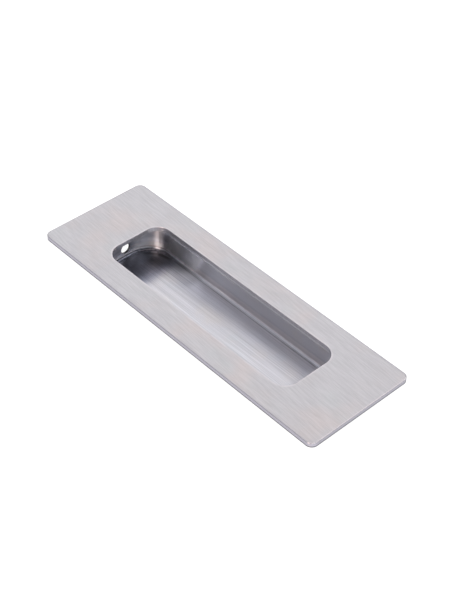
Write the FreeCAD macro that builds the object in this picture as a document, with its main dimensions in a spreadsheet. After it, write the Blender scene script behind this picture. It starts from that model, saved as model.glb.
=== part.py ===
import FreeCAD, Part
import os
import Sketcher
from math import pi
from FreeCAD import Placement, Rotation, Vector

# Recessed pull handle: a flat face plate with a rounded opening, and a drawn
# sheet cup whose flange sits in a shallow seat in the plate's back, welded round.
# +X runs along the handle, +Y across it, +Z out of the door.
# The origin is the centre of the plate's back face, which lies on the door.

os.makedirs("parts", exist_ok=True)
doc = FreeCAD.newDocument("pull_handle")
sheet = doc.addObject("Spreadsheet::Sheet", "Sizes")

# driving dimensions, in mm and degrees
DIMENSIONS = [
    ("plate_length", "150.0", "face plate, along the handle"),
    ("plate_width", "50.0", "face plate, across"),
    ("plate_thickness", "2.0", "face plate"),
    ("plate_corner", "2.8", "radius of the plate's four corners"),
    ("plate_edge_round", "0.25", "rounding of the plate's outer top edge"),
    ("mouth_length", "100.2", "opening in the plate, along the handle"),
    ("mouth_width", "27.6", "opening in the plate, across"),
    ("mouth_corner", "6.3", "radius of the opening's corners"),
    ("mouth_edge_round", "0.2", "rounding of the opening's top edge"),
    ("seat_depth", "0.2", "shallow seat in the plate's back that places the cup's flange"),
    ("seat_gap", "0.1", "between the flange's edge and the seat's edge"),
    ("end_overhang", "5.0", "plate past the cup's end wall, over the screw heads"),
    ("side_overhang", "0.2", "plate past the cup's long wall"),
    ("cup_sheet", "1.0", "thickness of the drawn sheet"),
    ("cup_corner", "11.0", "radius of the cup's upright corners, inside"),
    ("recess_depth", "12.8", "front of the plate to the cup's floor"),
    ("wall_draft", "1.0", "slope of the cup's walls, in degrees"),
    ("foot_round", "1.6", "radius where the cup's walls meet its floor, inside"),
    ("flange_bend", "0.6", "radius under the flange, where it turns into the wall"),
    ("flange_width", "5.0", "flange outside the cup's outer wall"),
    ("screw_hole", "4.6", "diameter of the hole in each end wall"),
    ("screw_drop", "9.0", "front of the plate to the centre of the screw holes"),
]
# lengths that follow from the driving ones
DERIVED = [
    ("cup_length", "=mouth_length + 2 * end_overhang", "inside the cup, at its mouth"),
    ("cup_width", "=mouth_width + 2 * side_overhang", "inside the cup, at its mouth"),
    ("cup_depth", "=recess_depth - plate_thickness + seat_depth", "top of the flange to the cup's floor"),
    ("hole_height", "=plate_thickness - screw_drop - seat_depth", "screw holes, from the flange's top"),
    ("upper_bend", "=flange_bend + cup_sheet", "the flange's bend, measured on its upper side"),
    ("outer_foot", "=foot_round + cup_sheet", "radius of the cup's foot, outside"),
]
for row, (alias, content, note) in enumerate(DIMENSIONS + DERIVED, start=1):
    sheet.set(f"A{row}", alias.replace("_", " "))
    sheet.set(f"B{row}", content)
    sheet.set(f"C{row}", note)
    sheet.setAlias(f"B{row}", alias)
doc.recompute()

TOUCH = 1e-4  # mm, how near two places count as the same


def new_body(label):
    body = doc.addObject("PartDesign::Body", label)
    body.Label = label
    body.Placement = Placement(Vector(0, 0, 0), Rotation())
    return body


def new_sketch(body, name, role, lift="0 mm"):
    """Sketch on one of the body's own origin planes, lifted along its normal."""
    sketch = body.newObject("Sketcher::SketchObject", name)
    plane = next(p for p in body.Origin.OriginFeatures if p.Role == role)
    sketch.AttachmentSupport = [(plane, "")]
    sketch.MapMode = "FlatFace"
    sketch.setExpression("AttachmentOffset.Base.z", lift)
    return sketch


def bind(sketch, name, constraint, formula):
    index = sketch.addConstraint(constraint)
    sketch.renameConstraint(index, name)
    sketch.setExpression("Constraints." + name, formula)


def rounded_rectangle(sketch, length, width, corner):
    """Closed outline centred on the sketch's origin, with its sizes bound to the sheet."""
    half_x = float(sketch.evalExpression(length)) / 2
    half_y = float(sketch.evalExpression(width)) / 2
    radius = float(sketch.evalExpression(corner))
    arcs = []
    for sx, sy, start in ((1, 1, 0), (-1, 1, pi / 2), (-1, -1, pi), (1, -1, 3 * pi / 2)):
        centre = Vector(sx * (half_x - radius), sy * (half_y - radius), 0)
        circle = Part.Circle(centre, Vector(0, 0, 1), radius)
        arcs.append(sketch.addGeometry(Part.ArcOfCircle(circle, start, start + pi / 2)))
    sides = []
    for here, there in zip(arcs, arcs[1:] + arcs[:1]):
        line = Part.LineSegment(sketch.Geometry[here].EndPoint, sketch.Geometry[there].StartPoint)
        side = sketch.addGeometry(line)
        sketch.addConstraint(Sketcher.Constraint("Tangent", here, 2, side, 1))
        sketch.addConstraint(Sketcher.Constraint("Tangent", side, 2, there, 1))
        sides.append(side)
    for arc in arcs[1:]:
        sketch.addConstraint(Sketcher.Constraint("Equal", arcs[0], arc))
    far, left, near, right = sides
    sketch.addConstraint(Sketcher.Constraint("Horizontal", far))
    sketch.addConstraint(Sketcher.Constraint("Vertical", left))
    sketch.addConstraint(Sketcher.Constraint("Symmetric", left, 1, right, 1, -1, 1))
    bind(sketch, "Length", Sketcher.Constraint("DistanceX", left, 1, right, 2, 2 * half_x), length)
    bind(sketch, "Width", Sketcher.Constraint("DistanceY", near, 1, far, 2, 2 * half_y), width)
    bind(sketch, "Corner", Sketcher.Constraint("Radius", arcs[0], radius), corner)


def pad(body, name, sketch, length, down=False, draft=None):
    feature = body.newObject("PartDesign::Pad", name)
    feature.Profile = sketch
    feature.Reversed = down
    feature.setExpression("Length", length)
    if draft:
        feature.setExpression("TaperAngle", draft)
    doc.recompute()
    return feature


def pocket(body, name, sketch, depth=None, up=False, both_ways=False, draft=None):
    """Cut below the sketch to a depth, or above it, or right through."""
    before = body.Tip.Shape.Volume
    feature = body.newObject("PartDesign::Pocket", name)
    feature.Profile = sketch
    feature.Reversed = up
    if depth:
        feature.setExpression("Length", depth)
    else:
        feature.Type = "ThroughAll"
        feature.Midplane = both_ways
    if draft:
        feature.setExpression("TaperAngle", draft)
    doc.recompute()
    if feature.Shape.Volume > before - TOUCH:
        raise RuntimeError(f"{name} cuts nothing")
    return feature


def fillet(body, name, feature, radius, wanted):
    """Round the edges of a feature that the test picks."""
    picked = [f"Edge{k}" for k, edge in enumerate(feature.Shape.Edges, start=1) if wanted(edge)]
    rounding = body.newObject("PartDesign::Fillet", name)
    rounding.Base = (feature, picked)
    rounding.setExpression("Radius", radius)
    doc.recompute()
    return rounding


def level_loop(height, half_x, half_y):
    """Test for the edges that lie at a height and reach no further than an outline."""

    def wanted(edge):
        box = edge.BoundBox
        level = abs(box.ZMin - height) < TOUCH and abs(box.ZMax - height) < TOUCH
        reach_x = max(abs(box.XMin), abs(box.XMax))
        reach_y = max(abs(box.YMin), abs(box.YMax))
        return level and reach_x < half_x + TOUCH and reach_y < half_y + TOUCH

    return wanted


FLANGE_SIZES = (
    "Sizes.cup_length + 2 * (Sizes.cup_sheet + Sizes.flange_width)",
    "Sizes.cup_width + 2 * (Sizes.cup_sheet + Sizes.flange_width)",
    "Sizes.cup_corner + Sizes.cup_sheet + Sizes.flange_width",
)

# Face plate: a flat blank with a cut opening, and a shallow seat in its back

face_plate = new_body("face_plate")
blank_outline = new_sketch(face_plate, "BlankOutline", "XY_Plane")
rounded_rectangle(blank_outline, "Sizes.plate_length", "Sizes.plate_width", "Sizes.plate_corner")
blank = pad(face_plate, "Blank", blank_outline, "Sizes.plate_thickness")

mouth_outline = new_sketch(face_plate, "MouthOutline", "XY_Plane", "Sizes.plate_thickness")
rounded_rectangle(mouth_outline, "Sizes.mouth_length", "Sizes.mouth_width", "Sizes.mouth_corner")
mouth = pocket(face_plate, "Mouth", mouth_outline)

seat_outline = new_sketch(face_plate, "SeatOutline", "XY_Plane")
seat_length, seat_width, seat_corner = FLANGE_SIZES
rounded_rectangle(
    seat_outline,
    seat_length + " + 2 * Sizes.seat_gap",
    seat_width + " + 2 * Sizes.seat_gap",
    seat_corner + " + Sizes.seat_gap",
)
seat = pocket(face_plate, "Seat", seat_outline, "Sizes.seat_depth", up=True)

at_mouth = level_loop(sheet.plate_thickness, sheet.mouth_length / 2, sheet.mouth_width / 2)
mouth_edge = fillet(face_plate, "MouthEdge", seat, "Sizes.mouth_edge_round", at_mouth)


def at_plate_rim(edge):
    box = edge.BoundBox
    level = box.ZMin > sheet.plate_thickness - TOUCH
    outside = max(abs(box.XMin), abs(box.XMax)) > sheet.plate_length / 2 - sheet.plate_corner - TOUCH
    return level and (outside or max(abs(box.YMin), abs(box.YMax)) > sheet.plate_width / 2 - TOUCH)


plate_edge = fillet(face_plate, "PlateEdge", mouth_edge, "Sizes.plate_edge_round", at_plate_rim)

# Recess cup: one drawn sheet, with a flange that turns out round its mouth

recess_cup = new_body("recess_cup")
recess_cup.setExpression("Placement.Base.z", "Sizes.seat_depth")
flange_outline = new_sketch(recess_cup, "FlangeOutline", "XY_Plane")
rounded_rectangle(flange_outline, *FLANGE_SIZES)
flange = pad(recess_cup, "Flange", flange_outline, "Sizes.cup_sheet", down=True)

tub_outline = new_sketch(recess_cup, "TubOutline", "XY_Plane")
rounded_rectangle(
    tub_outline,
    "Sizes.cup_length + 2 * Sizes.cup_sheet",
    "Sizes.cup_width + 2 * Sizes.cup_sheet",
    "Sizes.cup_corner + Sizes.cup_sheet",
)
tub = pad(recess_cup, "Tub", tub_outline, "Sizes.cup_depth + Sizes.cup_sheet", True, "-Sizes.wall_draft")

half_x = sheet.cup_length / 2 + sheet.cup_sheet
half_y = sheet.cup_width / 2 + sheet.cup_sheet
under_flange = level_loop(-sheet.cup_sheet, half_x, half_y)
flange_turn = fillet(recess_cup, "FlangeTurn", tub, "Sizes.flange_bend", under_flange)
tub_foot = level_loop(-sheet.cup_depth - sheet.cup_sheet, half_x, half_y)
outer_foot = fillet(recess_cup, "OuterFoot", flange_turn, "Sizes.outer_foot", tub_foot)

hollow_outline = new_sketch(recess_cup, "HollowOutline", "XY_Plane")
rounded_rectangle(hollow_outline, "Sizes.cup_length", "Sizes.cup_width", "Sizes.cup_corner")
hollow = pocket(recess_cup, "Hollow", hollow_outline, "Sizes.cup_depth", draft="-Sizes.wall_draft")
cup_foot = level_loop(-sheet.cup_depth, sheet.cup_length / 2, sheet.cup_width / 2)
inner_foot = fillet(recess_cup, "InnerFoot", hollow, "Sizes.foot_round", cup_foot)
cup_mouth = level_loop(0, sheet.cup_length / 2, sheet.cup_width / 2)
cup_lip = fillet(recess_cup, "CupLip", inner_foot, "Sizes.upper_bend", cup_mouth)

# one round hole in each end wall, on one axis along the handle
hole_sketch = new_sketch(recess_cup, "ScrewHoleOutline", "YZ_Plane")
hole_centre = Vector(0, sheet.hole_height, 0)
rim = hole_sketch.addGeometry(Part.Circle(hole_centre, Vector(0, 0, 1), sheet.screw_hole / 2))
hole_sketch.addConstraint(Sketcher.Constraint("PointOnObject", rim, 3, -2))
bind(hole_sketch, "Hole", Sketcher.Constraint("Diameter", rim, sheet.screw_hole), "Sizes.screw_hole")
drop = Sketcher.Constraint("DistanceY", -1, 1, rim, 3, sheet.hole_height)
bind(hole_sketch, "Height", drop, "Sizes.hole_height")
screw_holes = pocket(recess_cup, "ScrewHoles", hole_sketch, both_ways=True)

# Checks, then one file per piece

doc.recompute()
for item in doc.Objects:
    if "Invalid" in item.State or "Error" in item.State:
        raise RuntimeError(f"{item.Label} failed: {item.State}")
for body in (face_plate, recess_cup):
    shape = body.Shape
    if shape.isNull() or not shape.isValid() or len(shape.Solids) != 1:
        raise RuntimeError(f"{body.Label} is not one valid solid")
    box = shape.optimalBoundingBox()
    size = f"{box.XLength:.2f} x {box.YLength:.2f} x {box.ZLength:.2f} mm"
    print(body.Label, f"volume {shape.Volume:.1f} mm3,", size)
    shape.exportStep(f"parts/{body.Label}.step")
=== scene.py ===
import bpy
from math import cos, pi, radians, sin
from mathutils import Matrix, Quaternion, Vector


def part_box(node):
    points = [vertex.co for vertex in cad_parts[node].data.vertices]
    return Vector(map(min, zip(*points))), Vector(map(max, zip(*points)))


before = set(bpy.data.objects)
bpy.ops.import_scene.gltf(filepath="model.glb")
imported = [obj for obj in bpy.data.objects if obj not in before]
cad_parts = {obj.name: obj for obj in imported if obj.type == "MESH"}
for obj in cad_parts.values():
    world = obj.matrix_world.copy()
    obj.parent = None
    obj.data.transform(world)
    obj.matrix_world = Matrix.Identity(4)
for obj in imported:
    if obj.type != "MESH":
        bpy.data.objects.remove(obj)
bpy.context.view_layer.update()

# Recessed pull handle of satin stainless steel, face up on a white table.
# Lengths are in metres, in the frame that the solids use.

print("frame loaded:", sorted(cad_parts))


# Small helpers, most of them for node trees

def setInputs(tree, node, inputs):
    for key, value in inputs.items():
        if isinstance(value, bpy.types.NodeSocket):
            tree.links.new(value, node.inputs[key])
        else:
            node.inputs[key].default_value = value


def addNode(tree, kind, inputs=None, **settings):
    made = tree.nodes.new(kind)
    for name, value in settings.items():
        setattr(made, name, value)
    setInputs(tree, made, inputs or {})
    return made


def maths(tree, operation, *values):
    return addNode(tree, "ShaderNodeMath", dict(enumerate(values)), operation=operation).outputs[0]


def product(tree, *factors):
    result = factors[0]
    for factor in factors[1:]:
        result = maths(tree, "MULTIPLY", result, factor)
    return result


def fade(tree, value, start, end, low=0.0, high=1.0):
    # value turned into low at start and high at end, smoothly between
    inputs = {"Value": value, "From Min": start, "From Max": end, "To Min": low, "To Max": high}
    return addNode(tree, "ShaderNodeMapRange", inputs, interpolation_type="SMOOTHSTEP").outputs[0]


def within(tree, value, limits):
    # 0 at the first limit and 1 at the second; with four limits, 1 until the third and 0 at the fourth
    rising = fade(tree, value, limits[0], limits[1])
    if len(limits) == 2:
        return rising
    return product(tree, rising, fade(tree, value, limits[3], limits[2]))


def tinted(tree, mask, factor):
    # 1 outside the mask, factor inside it
    return fade(tree, mask, 0.0, 1.0, 1.0, factor)


def mixColours(tree, amount, first, second):
    # 0, 6 and 7 are the mix's amount and its two colours
    made = addNode(tree, "ShaderNodeMix", data_type="RGBA")
    setInputs(tree, made, {0: amount, 6: first, 7: second})
    return made.outputs[2]


def shaded(tree, colour, shade):
    inputs = {0: colour, "Scale": shade}
    return addNode(tree, "ShaderNodeVectorMath", inputs, operation="SCALE").outputs[0]


def newGroup(name, inputs, outputs):
    tree = bpy.data.node_groups.new(name, "ShaderNodeTree")
    for title, kind, value in inputs:
        socket = tree.interface.new_socket(title, in_out="INPUT", socket_type="NodeSocket" + kind)
        if value is not None:
            socket.default_value = value
    for title, kind in outputs:
        tree.interface.new_socket(title, in_out="OUTPUT", socket_type="NodeSocket" + kind)
    given = tree.nodes.new("NodeGroupInput").outputs
    result = tree.nodes.new("NodeGroupOutput").inputs
    return tree, given, result


def useGroup(tree, group, inputs):
    made = tree.nodes.new("ShaderNodeGroup")
    made.node_tree = group
    setInputs(tree, made, inputs)
    return made.outputs


def newMaterial(name):
    material = bpy.data.materials.new(name)
    material.use_nodes = True
    tree = material.node_tree
    shader = next(node for node in tree.nodes if node.type == "BSDF_PRINCIPLED")
    return material, tree, shader


def newObject(name, data):
    made = bpy.data.objects.new(name, data)
    bpy.context.scene.collection.objects.link(made)
    return made


# How far a point lies outside a rounded rectangle, seen from above; negative inside

def makeOutlineDistance():
    inputs = [
        ("Place", "Vector", None),
        ("Half Length", "Float", 0.05),
        ("Half Width", "Float", 0.02),
        ("Corner", "Float", 0.005),
    ]
    tree, given, result = newGroup("outlineDistance", inputs, [("Distance", "Float")])
    parts = addNode(tree, "ShaderNodeSeparateXYZ", {0: given["Place"]}).outputs
    past = []
    for axis, half in (("X", "Half Length"), ("Y", "Half Width")):
        straight = maths(tree, "SUBTRACT", given[half], given["Corner"])
        past.append(maths(tree, "SUBTRACT", maths(tree, "ABSOLUTE", parts[axis]), straight))
    outX = maths(tree, "MAXIMUM", past[0], 0.0)
    outY = maths(tree, "MAXIMUM", past[1], 0.0)
    squares = maths(tree, "ADD", product(tree, outX, outX), product(tree, outY, outY))
    inside = maths(tree, "MINIMUM", maths(tree, "MAXIMUM", *past), 0.0)
    fromCorner = maths(tree, "ADD", maths(tree, "SQRT", squares), inside)
    tree.links.new(maths(tree, "SUBTRACT", fromCorner, given["Corner"]), result["Distance"])
    return tree


# Fine scratches of a brushed finish, drawn out along one direction

def makeBrushGrain():
    inputs = [
        ("Place", "Vector", None),
        ("Turn", "Float", 0.0),
        ("Length", "Float", 0.02),
        ("Pitch", "Float", 0.0005),
        ("Seed", "Float", 0.0),
    ]
    tree, given, result = newGroup("brushGrain", inputs, [("Fine", "Float"), ("Broad", "Float")])
    turn = addNode(tree, "ShaderNodeCombineXYZ", {"Z": given["Turn"]}).outputs[0]
    turned = addNode(tree, "ShaderNodeMapping", {"Vector": given["Place"], "Rotation": turn}).outputs[0]
    along = maths(tree, "DIVIDE", 1.0, given["Length"])
    across = maths(tree, "DIVIDE", 1.0, given["Pitch"])
    stretch = addNode(tree, "ShaderNodeCombineXYZ", {"X": along, "Y": across, "Z": across}).outputs[0]
    drawn = addNode(tree, "ShaderNodeVectorMath", {0: turned, 1: stretch}, operation="MULTIPLY").outputs[0]
    for title, scale in (("Fine", 1.0), ("Broad", 0.22)):
        noise = {"Vector": drawn, "W": given["Seed"], "Scale": scale, "Detail": 4.0, "Roughness": 0.65}
        streaks = addNode(tree, "ShaderNodeTexNoise", noise, noise_dimensions="4D").outputs[0]
        tree.links.new(streaks, result[title])
    return tree


# Cloudy tints that rolling and handling leave in the sheet

def makeSoftPatches():
    inputs = [
        ("Place", "Vector", None),
        ("Size", "Float", 0.03),
        ("Steel", "Color", None),
        ("Warm", "Color", None),
        ("Cool", "Color", None),
    ]
    tree, given, result = newGroup("softPatches", inputs, [("Color", "Color")])
    scale = maths(tree, "DIVIDE", 1.0, given["Size"])
    clouds = {"Vector": given["Place"], "Scale": scale, "Detail": 3.0, "Roughness": 0.55}
    first = addNode(tree, "ShaderNodeTexNoise", clouds).outputs[0]
    others = {**clouds, "Scale": maths(tree, "MULTIPLY", scale, 1.7), "W": 4.0}
    second = addNode(tree, "ShaderNodeTexNoise", others, noise_dimensions="4D").outputs[0]
    warmed = mixColours(tree, fade(tree, first, 0.45, 0.7), given["Steel"], given["Warm"])
    cooled = mixColours(tree, fade(tree, second, 0.5, 0.75), warmed, given["Cool"])
    tree.links.new(cooled, result["Color"])
    return tree


# Thin uneven light line along an edge, for painted highlights

def makeEdgeGlint():
    inputs = [
        ("Place", "Vector", None),
        ("Distance", "Float", 0.0),
        ("Reach", "Float", 0.0003),
        ("Unevenness", "Float", 0.5),
    ]
    tree, given, result = newGroup("edgeGlint", inputs, [("Glint", "Float")])
    away = maths(tree, "DIVIDE", maths(tree, "ABSOLUTE", given["Distance"]), given["Reach"])
    line = fade(tree, away, 1.0, 0.2)
    gapNoise = {"Vector": given["Place"], "Scale": 160.0, "Detail": 3.0}
    gaps = fade(tree, addNode(tree, "ShaderNodeTexNoise", gapNoise).outputs[0], 0.6, 0.4)
    kept = maths(tree, "SUBTRACT", 1.0, product(tree, given["Unevenness"], gaps))
    tree.links.new(product(tree, line, kept), result["Glint"])
    return tree


outlineDistance = makeOutlineDistance()
brushGrain = makeBrushGrain()
softPatches = makeSoftPatches()
edgeGlint = makeEdgeGlint()
print("shader groups made")

# The brushing runs along the handle, tilted a little so that the end walls have a direction too
brushDirection = (1.0, 0.0, 0.15)
# Most values of the grain and of plain noise lie in these ranges
grainRange = (0.3, 0.7)
noiseRange = (0.35, 0.65)
scratchDepth = 0.00002


def newSteel(name, anisotropy):
    material, tree, shader = newMaterial(name)
    shader.inputs["Metallic"].default_value = 1.0
    shader.inputs["Anisotropic"].default_value = anisotropy
    # the gloss of brushed steel spreads across the brushing
    facing = addNode(tree, "ShaderNodeNewGeometry").outputs["Normal"]
    crossed = {0: facing, 1: brushDirection}
    across = addNode(tree, "ShaderNodeVectorMath", crossed, operation="CROSS_PRODUCT").outputs[0]
    tree.links.new(across, shader.inputs["Tangent"])
    place = addNode(tree, "ShaderNodeTexCoord").outputs["Object"]
    return material, tree, shader, place


# Face plate: fine brushed top, pale sides, marks of the cut round the opening

# A fade or depth runs from where its part is absent to where it is full; depths are below the front.
plate = {
    "halfLength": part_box("face_plate")[1][0],
    "halfWidth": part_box("face_plate")[1][1],
    "thickness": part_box("face_plate")[1][2],
    "corner": 0.0028,
    "mouthHalfLength": 0.0501,
    "mouthHalfWidth": 0.0138,
    "mouthCorner": 0.0063,
    "mouthFade": (0.0003, 0.0001),
    "mouthDepth": (0.0001, 0.0003),
    "rimFade": (-0.0005, -0.0003),
    "endGlintFade": (0.001, 0.0006),
    "rimShadeFade": (-0.015, 0.015),
    "sideFade": (-0.0003, -0.0001),
    "sideDepth": (0.0002, 0.0003),
    "bottomBandFade": (0.0006, 0.0003),
    "steel": (0.437, 0.43, 0.438, 1),
    "warm": (0.456, 0.426, 0.421, 1),
    "cool": (0.432, 0.434, 0.438, 1),
    "cut": (0.56, 0.555, 0.58),
    "side": (0.66, 0.65, 0.73, 1),
    "bottomBand": (0.17, 0.17, 0.2, 1),
    "rimShadeNear": (0.4, 0.39, 0.41, 1),
    "rimShadeFar": (0.27, 0.26, 0.28, 1),
    "glint": (0.53, 0.51, 0.52, 1),
    "glintReach": 0.001,
    "grainTurn": radians(3),
    "grainLength": 0.008,
    "grainPitch": 0.00026,
    "grainShade": (0.89, 1.1),
    "patchSize": 0.025,
    "strokeScale": 1500.0,
    "strokeStretch": (1.0, 1.0, 0.08),
    "strokeShade": (0.93, 1.04),
    "scratches": 0.3,
    "satin": (0.42, 0.44),
    "anisotropy": 0.7,
}


def makePlateSteel():
    material, tree, shader, place = newSteel("plateSteel", plate["anisotropy"])
    parts = addNode(tree, "ShaderNodeSeparateXYZ", {0: place}).outputs
    depth = maths(tree, "SUBTRACT", plate["thickness"], parts["Z"])
    toMouth = useGroup(tree, outlineDistance, {
        "Place": place,
        "Half Length": plate["mouthHalfLength"],
        "Half Width": plate["mouthHalfWidth"],
        "Corner": plate["mouthCorner"],
    })["Distance"]
    toRim = useGroup(tree, outlineDistance, {
        "Place": place,
        "Half Length": plate["halfLength"],
        "Half Width": plate["halfWidth"],
        "Corner": plate["corner"],
    })["Distance"]
    grain = useGroup(tree, brushGrain, {
        "Place": place,
        "Turn": plate["grainTurn"],
        "Length": plate["grainLength"],
        "Pitch": plate["grainPitch"],
    })
    patches = useGroup(tree, softPatches, {
        "Place": place,
        "Size": plate["patchSize"],
        "Steel": plate["steel"],
        "Warm": plate["warm"],
        "Cool": plate["cool"],
    })
    top = shaded(tree, patches["Color"], fade(tree, grain["Fine"], *grainRange, *plate["grainShade"]))
    # a painted highlight: a lighter line along the opening's edge
    glintLine = {"Place": place, "Distance": toMouth, "Reach": plate["glintReach"]}
    top = mixColours(tree, useGroup(tree, edgeGlint, glintLine)["Glint"], top, plate["glint"])

    # the rounded rim has painted shade, darker on the far side, and a painted highlight at one end
    toEnd = maths(tree, "SUBTRACT", plate["halfLength"], parts["X"])
    farther = within(tree, parts["Y"], plate["rimShadeFade"])
    rimShade = mixColours(tree, farther, plate["rimShadeNear"], plate["rimShadeFar"])
    rim = mixColours(tree, within(tree, toEnd, plate["endGlintFade"]), rimShade, plate["glint"])
    top = mixColours(tree, within(tree, toRim, plate["rimFade"]), top, rim)

    # the opening's wall keeps the marks of its cutting: short upright strokes
    flattened = {0: place, 1: plate["strokeStretch"]}
    strokes = addNode(tree, "ShaderNodeVectorMath", flattened, operation="MULTIPLY").outputs[0]
    noise = {"Vector": strokes, "Scale": plate["strokeScale"], "Detail": 2.0}
    stroke = addNode(tree, "ShaderNodeTexNoise", noise).outputs[0]
    cut = shaded(tree, plate["cut"], fade(tree, stroke, *noiseRange, *plate["strokeShade"]))
    onWall = within(tree, toMouth, plate["mouthFade"])
    onWall = product(tree, onWall, within(tree, depth, plate["mouthDepth"]))

    # the outer sides are pale, with a dark band along the bottom
    sides = mixColours(tree, within(tree, parts["Z"], plate["bottomBandFade"]), plate["side"], plate["bottomBand"])
    onSide = within(tree, toRim, plate["sideFade"])
    onSide = product(tree, onSide, within(tree, depth, plate["sideDepth"]))
    colour = mixColours(tree, onSide, mixColours(tree, onWall, top, cut), sides)
    tree.links.new(colour, shader.inputs["Base Color"])
    satin = fade(tree, grain["Broad"], *grainRange, *plate["satin"])
    tree.links.new(satin, shader.inputs["Roughness"])
    relief = {"Strength": plate["scratches"], "Distance": scratchDepth, "Height": grain["Fine"]}
    tree.links.new(addNode(tree, "ShaderNodeBump", relief).outputs[0], shader.inputs["Normal"])
    return material


# Cup: satin walls and a brushed floor, rougher at the ends, with painted highlights and painted shade on
# the walls, foot and corners

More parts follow.
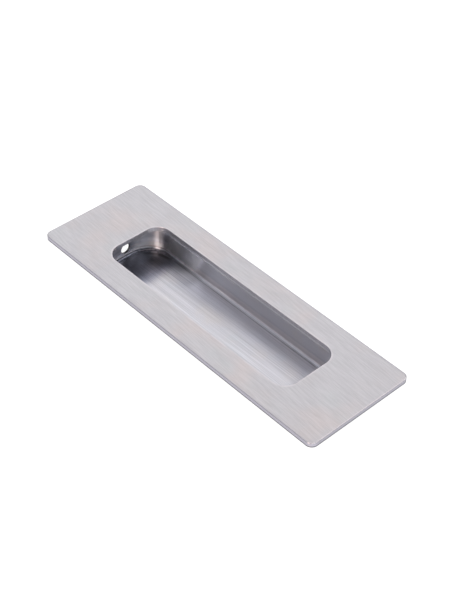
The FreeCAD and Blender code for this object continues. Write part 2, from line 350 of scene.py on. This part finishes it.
# A mark makes the steel lighter or darker by its shade, on the part that its masks and measures give.
# The slope leans with the rise and the slant with the distance sideways.
# Along a measure it is absent at the first value and full at the second; where there are four, it stays
# full until the third and is gone at the fourth.
cup = {
    "floorHeight": -0.0108,
    "floorHalfLength": 0.0535,
    "floorHalfWidth": 0.0124,
    "floorCorner": 0.0115,
    "bore": 0.0023,
    "boreHeight": -0.007,
    "slopeRise": 0.5,
    "slantSideways": 0.9,
    "floorRise": (0.0012, 0.0002),
    "wallRise": (0.0011, 0.0016),
    "endsAlong": (0.038, 0.046),
    "endFootAlong": (0.047, 0.049),
    "endFootAcross": (0.0105, 0.009),
    "plainFootAlong": (0.043, 0.035),
    "plainFoot": (0.2, 1.0),
    "steel": (0.59, 0.585, 0.61, 1),
    "warm": (0.61, 0.59, 0.59, 1),
    "cool": (0.575, 0.585, 0.61, 1),
    "aboveFootTint": (0.68, 0.64, 0.635, 1),
    "aboveFootRise": (0.0004, 0.0014, 0.0032, 0.0042),
    "aboveFootShare": 0.8,
    "blueShade": (0.555, 0.575, 0.69, 1),
    "blueShadeAlong": (0.034, 0.04),
    "blueShadeAcross": (0.001, 0.008),
    "blueShadeShare": 0.3,
    "grainLength": 0.05,
    "grainPitch": 0.0003,
    "scratches": 0.15,
    "wallStreaks": 0.2,
    "floorStreaks": 1.5,
    "patchSize": 0.012,
    "mottleScale": 1000.0,
    "mottle": 0.8,
    "mottleFade": (-0.0001, 0.0001),
    "satin": 0.3,
    "satinAtEnds": 0.45,
    "satinSpread": 0.012,
    "dullWall": (0.0464, 0.0479, 0.0495, 0.051),
    "wallDulling": 0.2,
    "dullFloor": (0.04, 0.0415, 0.0465, 0.048),
    "floorDulling": 0.15,
    "anisotropy": 0.84,
    "lineRise": 0.00095,
    "lineReach": 0.0003,
    "lineShade": 1.1,
    "bendHeight": (-0.0011, -0.0005),
    "bendLight": (0.77, 0.3),
    "bendAlong": (0.024, 0.036),
    "marks": {
        # painted shade and painted highlights on the foot
        "lowLine": {"shade": 0.72, "on": ["plainFoot"], "rise": (0.00001, 0.00006, 0.0003, 0.00035)},
        "lowestLine": {"shade": 0.55, "on": ["plainFoot"], "rise": (0.00001, 0.00002, 0.00008, 0.00009)},
        "longFoot": {"shade": 0.84, "rise": (0.0001, 0.0003, 0.0007, 0.0009), "leftward": (0.04, 0.03)},
        "endShine": {
            "shade": 1.7, "on": ["endFoot"], "rise": (0.0, 0.0001, 0.0003, 0.0004),
            "across": (0.0095, 0.0055),
        },
        "endFootShade": {
            "shade": 0.2, "on": ["endFoot"], "rise": (0.0003, 0.0005, 0.0008, 0.001),
            "across": (0.0075, 0.0045),
        },
        "endLine": {
            "shade": 1.5, "on": ["endFoot"], "rise": (0.0012, 0.0015, 0.0021, 0.0024),
            "sideways": (0.0055, 0.0035),
        },
        # painted shade on the foot of the left corner
        "cornerBend": {
            "shade": 0.55, "rise": (0.0001, 0.0005, 0.0014, 0.0018),
            "leftward": (0.042, 0.046), "across": (0.005, 0.0075),
        },
        "cornerFoot": {
            "shade": 0.5, "rise": (0.0003, 0.00045, 0.0009, 0.00105),
            "leftward": (0.044, 0.046), "across": (0.005, 0.0065, 0.011, 0.0125),
        },
        # the walls: painted highlights, brightest in the left corner, most of all above the foot, and
        # painted shade beside the corner and the bore
        "wall": {"shade": 0.89, "on": ["onWall"]},
        "leftWalls": {"shade": 1.25, "on": ["onWall"], "leftward": (0.034, 0.045)},
        "cornerWall": {
            "shade": 1.6, "on": ["onWall"], "rise": (0.0012, 0.0026, 0.0035, 0.0075),
            "leftward": (0.037, 0.044), "across": (-0.002, 0.004),
        },
        "besideCorner": {
            "shade": 0.75, "rise": (0.002, 0.0045), "leftward": (0.038, 0.041),
            "sideways": (0.0125, 0.0129, 0.0134, 0.0138),
        },
        "besideBore": {
            "shade": 0.78, "rise": (0.0018, 0.0033, 0.0078, 0.0093), "leftward": (0.049, 0.0505),
            "across": (0.0015, 0.0035, 0.0065, 0.0085),
        },
        "longWall": {
            "shade": 1.08, "on": ["onWall"], "leftward": (0.002, 0.02), "sideways": (0.0126, 0.0134),
        },
        "longWallGlow": {
            "shade": 2.0, "on": ["onWall"], "slope": (0.025, 0.032, 0.042, 0.049),
            "sideways": (0.0125, 0.0132), "height": (-0.0005, -0.0012),
        },
        # a faint darker line round the walls, about 4 mm above the floor
        "darkerBand": {"shade": 0.92, "rise": (0.0035, 0.0039, 0.0045, 0.0049)},
        # painted shade on the floor before the left end, along the far side and in the corner
        "floor": {"shade": 0.81, "on": ["onFloor"]},
        "leftEndShade": {
            "shade": 0.42, "on": ["onFloor"], "leftward": (0.031, 0.042), "sideways": (0.011, 0.004),
        },
        "cornerFloorShade": {
            "shade": 0.17, "on": ["onFloor"], "slant": (0.034, 0.052), "across": (-0.002, 0.01),
        },
        "leftFarShade": {
            "shade": 0.74, "on": ["onFloor"], "leftward": (0.021, 0.027, 0.032, 0.038),
            "across": (0.003, 0.009),
        },
        "endOfFloor": {"shade": 0.8, "on": ["onFloor"], "leftward": (0.0465, 0.0485)},
        "farSide": {"shade": 0.9, "on": ["onFloor"], "across": (0.003, 0.009)},
        "farEdge": {"shade": 0.92, "on": ["onFloor"], "across": (0.0085, 0.0115)},
        "cornerEdge": {
            "shade": 0.5, "on": ["onFloor"], "leftward": (0.04, 0.044), "across": (0.005, 0.0085),
            "pastFloor": (-0.0022, -0.0006, -0.0002, 0.0002),
        },
        # little light reaches the punched bores
        "inBore": {"shade": 0.2, "pastBore": (0.0001, 0.0)},
    },
}


def makeCupMeasures(tree, place, toFloor):
    # what the marks are placed by; leftward is -X, across is Y and sideways its distance from 0
    parts = addNode(tree, "ShaderNodeSeparateXYZ", {0: place}).outputs
    rise = maths(tree, "SUBTRACT", parts["Z"], cup["floorHeight"])
    leftward = maths(tree, "MULTIPLY", parts["X"], -1.0)
    sideways = maths(tree, "ABSOLUTE", parts["Y"])
    drop = maths(tree, "SUBTRACT", parts["Z"], cup["boreHeight"])
    squares = maths(tree, "ADD", product(tree, drop, drop), product(tree, parts["Y"], parts["Y"]))
    return {
        "rise": rise,
        "height": parts["Z"],
        "leftward": leftward,
        "across": parts["Y"],
        "sideways": sideways,
        "slope": maths(tree, "ADD", leftward, maths(tree, "MULTIPLY", rise, cup["slopeRise"])),
        "slant": maths(tree, "ADD", leftward, maths(tree, "MULTIPLY", sideways, cup["slantSideways"])),
        "pastFloor": toFloor,
        "pastBore": maths(tree, "SUBTRACT", maths(tree, "SQRT", squares), cup["bore"]),
    }


def makeCupMasks(tree, measures):
    # the parts of the cup that several marks or other effects share
    leftward, across = measures["leftward"], measures["across"]
    leftEnd = within(tree, leftward, cup["endFootAlong"])
    return {
        "onFloor": within(tree, measures["rise"], cup["floorRise"]),
        "onWall": within(tree, measures["rise"], cup["wallRise"]),
        "atEnds": within(tree, maths(tree, "ABSOLUTE", leftward), cup["endsAlong"]),
        "endFoot": product(tree, leftEnd, within(tree, across, cup["endFootAcross"])),
        "plainFoot": fade(tree, leftward, *cup["plainFootAlong"], *cup["plainFoot"]),
    }


def makeCupShade(tree, place, measures, masks):
    # how much lighter or darker than plain steel each part of the drawn cup is
    # a painted highlight line along the foot
    line = useGroup(tree, edgeGlint, {
        "Place": place,
        "Distance": maths(tree, "SUBTRACT", measures["rise"], cup["lineRise"]),
        "Reach": cup["lineReach"],
        "Unevenness": 0.3,
    })["Glint"]
    shade = tinted(tree, line, cup["lineShade"])
    for mark in cup["marks"].values():
        limits = [masks[name] for name in mark.get("on", [])]
        limits += [within(tree, measures[name], mark[name]) for name in measures if name in mark]
        shade = product(tree, shade, tinted(tree, product(tree, *limits), mark["shade"]))

    # little light reaches the bend under the plate, least of all at the left end
    underPlate = within(tree, measures["height"], cup["bendHeight"])
    light = fade(tree, measures["leftward"], *cup["bendAlong"], *cup["bendLight"])
    return product(tree, shade, tinted(tree, underPlate, light))


def makeCupSatin(tree, broadGrain, measures, masks):
    # the ends of the floor and the walls of the left corner are duller than the rest
    floorEnds = product(tree, masks["onFloor"], masks["atEnds"])
    satin = fade(tree, floorEnds, 0.0, 1.0, cup["satin"], cup["satinAtEnds"])
    wall = within(tree, measures["leftward"], cup["dullWall"])
    wall = product(tree, wall, masks["onWall"], cup["wallDulling"])
    floor = within(tree, measures["leftward"], cup["dullFloor"])
    floor = product(tree, floor, masks["onFloor"], cup["floorDulling"])
    uneven = fade(tree, broadGrain, *grainRange, -cup["satinSpread"], cup["satinSpread"])
    for more in (wall, floor, uneven):
        satin = maths(tree, "ADD", satin, more)
    return satin


def makeCupSteel():
    material, tree, shader, place = newSteel("cupSteel", cup["anisotropy"])
    toFloor = useGroup(tree, outlineDistance, {
        "Place": place,
        "Half Length": cup["floorHalfLength"],
        "Half Width": cup["floorHalfWidth"],
        "Corner": cup["floorCorner"],
    })["Distance"]
    grain = useGroup(tree, brushGrain, {
        "Place": place,
        "Length": cup["grainLength"],
        "Pitch": cup["grainPitch"],
        "Seed": 3.0,
    })
    patches = useGroup(tree, softPatches, {
        "Place": place,
        "Size": cup["patchSize"],
        "Steel": cup["steel"],
        "Warm": cup["warm"],
        "Cool": cup["cool"],
    })
    measures = makeCupMeasures(tree, place, toFloor)
    masks = makeCupMasks(tree, measures)
    onFloor = masks["onFloor"]
    shade = makeCupShade(tree, place, measures, masks)

    # brushed streaks, strongest on the floor
    contrast = fade(tree, onFloor, 0.0, 1.0, cup["wallStreaks"], cup["floorStreaks"])
    streaks = product(tree, maths(tree, "SUBTRACT", grain["Fine"], 0.5), contrast)
    shade = product(tree, shade, maths(tree, "ADD", streaks, 1.0))

    # orange-peel mottle where the corners of the foot were stretched
    grains = {"Vector": place, "Scale": cup["mottleScale"], "Detail": 2.0}
    mottle = addNode(tree, "ShaderNodeTexNoise", grains).outputs[0]
    stretched = product(tree, onFloor, masks["atEnds"], within(tree, toFloor, cup["mottleFade"]))
    peel = product(tree, stretched, fade(tree, mottle, *noiseRange, 0.0, cup["mottle"]))
    shade = product(tree, shade, maths(tree, "ADD", peel, 1.0))

    # the walls are lighter and warmer just above the foot, and the floor has a painted bluish shade at its
    # left end and far side
    warmth = product(tree, within(tree, measures["rise"], cup["aboveFootRise"]), cup["aboveFootShare"])
    colour = mixColours(tree, warmth, patches["Color"], cup["aboveFootTint"])
    blueShade = fade(tree, measures["across"], *cup["blueShadeAcross"], 0.0, cup["blueShadeShare"])
    blueShade = maths(tree, "MAXIMUM", within(tree, measures["leftward"], cup["blueShadeAlong"]), blueShade)
    colour = mixColours(tree, product(tree, onFloor, blueShade), colour, cup["blueShade"])
    tree.links.new(shaded(tree, colour, shade), shader.inputs["Base Color"])

    satin = makeCupSatin(tree, grain["Broad"], measures, masks)
    tree.links.new(satin, shader.inputs["Roughness"])
    relief = {"Strength": cup["scratches"], "Distance": scratchDepth, "Height": grain["Fine"]}
    tree.links.new(addNode(tree, "ShaderNodeBump", relief).outputs[0], shader.inputs["Normal"])
    return material


def paint(node, material):
    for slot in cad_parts[node].material_slots:
        slot.material = material


paint("face_plate", makePlateSteel())
paint("recess_cup", makeCupSteel())
print("steels made")

# White table under the handle

table = {
    "reach": 6.0,
    "drop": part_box("recess_cup")[0][2],
    "grey": (0.12, 0.12, 0.12, 1),
    "roughness": 0.9,
    "seenGlow": 0.95,
    "litGlow": 0.55,
    "shadedGlow": 0.04,
    "litFrom": -0.001,
    "litBefore": 0.005,
    "litBeside": 0.007,
}


def makeTable():
    mesh = bpy.data.meshes.new("whiteTable")
    far = table["reach"]
    corners = [(x, y, table["drop"]) for x, y in ((-far, -far), (far, -far), (far, far), (-far, far))]
    mesh.from_pydata(corners, [], [(0, 1, 2, 3)])
    piece = newObject("whiteTable", mesh)
    material, tree, shader = newMaterial("whiteTable")
    shader.inputs["Base Color"].default_value = table["grey"]
    shader.inputs["Roughness"].default_value = table["roughness"]
    shader.inputs["Emission Color"].default_value = (1, 1, 1, 1)
    # white to the camera; the steel mirrors a table that glows with painted light before and beside the
    # handle
    place = addNode(tree, "ShaderNodeTexCoord").outputs["Object"]
    parts = addNode(tree, "ShaderNodeSeparateXYZ", {0: place}).outputs
    pastFront = maths(tree, "SUBTRACT", -plate["halfWidth"], parts["Y"])
    pastEnd = maths(tree, "SUBTRACT", parts["X"], plate["halfLength"])
    before = fade(tree, pastFront, table["litFrom"], table["litBefore"])
    beside = fade(tree, pastEnd, table["litFrom"], table["litBeside"])
    lit = maths(tree, "MAXIMUM", before, beside)
    mirrored = fade(tree, lit, 0.0, 1.0, table["shadedGlow"], table["litGlow"])
    seen = addNode(tree, "ShaderNodeLightPath").outputs["Is Camera Ray"]
    glow = maths(tree, "MAXIMUM", product(tree, seen, table["seenGlow"]), mirrored)
    tree.links.new(glow, shader.inputs["Emission Strength"])
    mesh.materials.append(material)


makeTable()

# Soft studio light

studio = {"worldColour": (0.86, 0.88, 1.0, 1), "worldStrength": 0.3, "boxDistance": 1.5}

# azimuth 0 is a light at -Y, 90 at +X; glow is the brightness that the steel mirrors
softboxes = {
    "keyBox": {
        "azimuth": 226, "elevation": 45, "size": (2.2, 1.6), "glow": 1.3, "colour": (1.0, 0.985, 1.0),
    },
    "backBox": {
        "azimuth": 215, "elevation": 13, "size": (2.6, 0.4), "glow": 1.1, "colour": (1.0, 1.0, 1.0),
    },
    "rightBox": {
        "azimuth": 148, "elevation": 40, "size": (1.6, 1.2), "glow": 1.5, "colour": (0.98, 0.98, 1.0),
    },
    "leftBox": {
        "azimuth": 322, "elevation": 30, "size": (1.55, 1.2), "glow": 0.8, "colour": (0.93, 0.93, 1.0),
    },
    "frontBox": {
        "azimuth": 12.5, "elevation": 42, "size": (0.45, 1.0), "glow": 14.1, "colour": (1.0, 0.82, 0.74),
    },
    "viewBox": {
        "azimuth": 68, "elevation": 30, "size": (1.5, 1.2), "glow": 1.9, "colour": (0.93, 0.95, 1.0),
    },
}


def makeSoftbox(name, box):
    light = bpy.data.lights.new(name, "AREA")
    light.shape = "RECTANGLE"
    light.size, light.size_y = box["size"]
    light.energy = box["glow"] * pi * light.size * light.size_y
    light.color = box["colour"]
    piece = newObject(name, light)
    azimuth, elevation = radians(box["azimuth"]), radians(box["elevation"])
    away = Vector((sin(azimuth) * cos(elevation), -cos(azimuth) * cos(elevation), sin(elevation)))
    piece.location = away * studio["boxDistance"]
    piece.rotation_euler = away.to_track_quat("Z", "Y").to_euler()


for name, box in softboxes.items():
    makeSoftbox(name, box)

world = bpy.data.worlds.new("studio")
bpy.context.scene.world = world
world.use_nodes = True
backdrop = world.node_tree.nodes["Background"]
backdrop.inputs["Color"].default_value = studio["worldColour"]
backdrop.inputs["Strength"].default_value = studio["worldStrength"]
bpy.context.scene.view_settings.view_transform = "Standard"
print("table and light made")

# Camera at the photograph's angle

camera = {
    "place": (0.27973, -0.26278, 0.35406),
    "turn": (0.836263, 0.372617, 0.153625, 0.371779),
    "lens": 82.544,
    "sensor": 36,
    "nearest": 0.01,
}

cameraData = bpy.data.cameras.new("camera")
cameraData.sensor_width = camera["sensor"]
cameraData.lens = camera["lens"]
cameraData.clip_start = camera["nearest"]
cameraObject = newObject("camera", cameraData)
cameraObject.rotation_mode = "QUATERNION"
cameraObject.location = camera["place"]
cameraObject.rotation_quaternion = Quaternion(camera["turn"])
bpy.context.scene.camera = cameraObject
print("camera set")
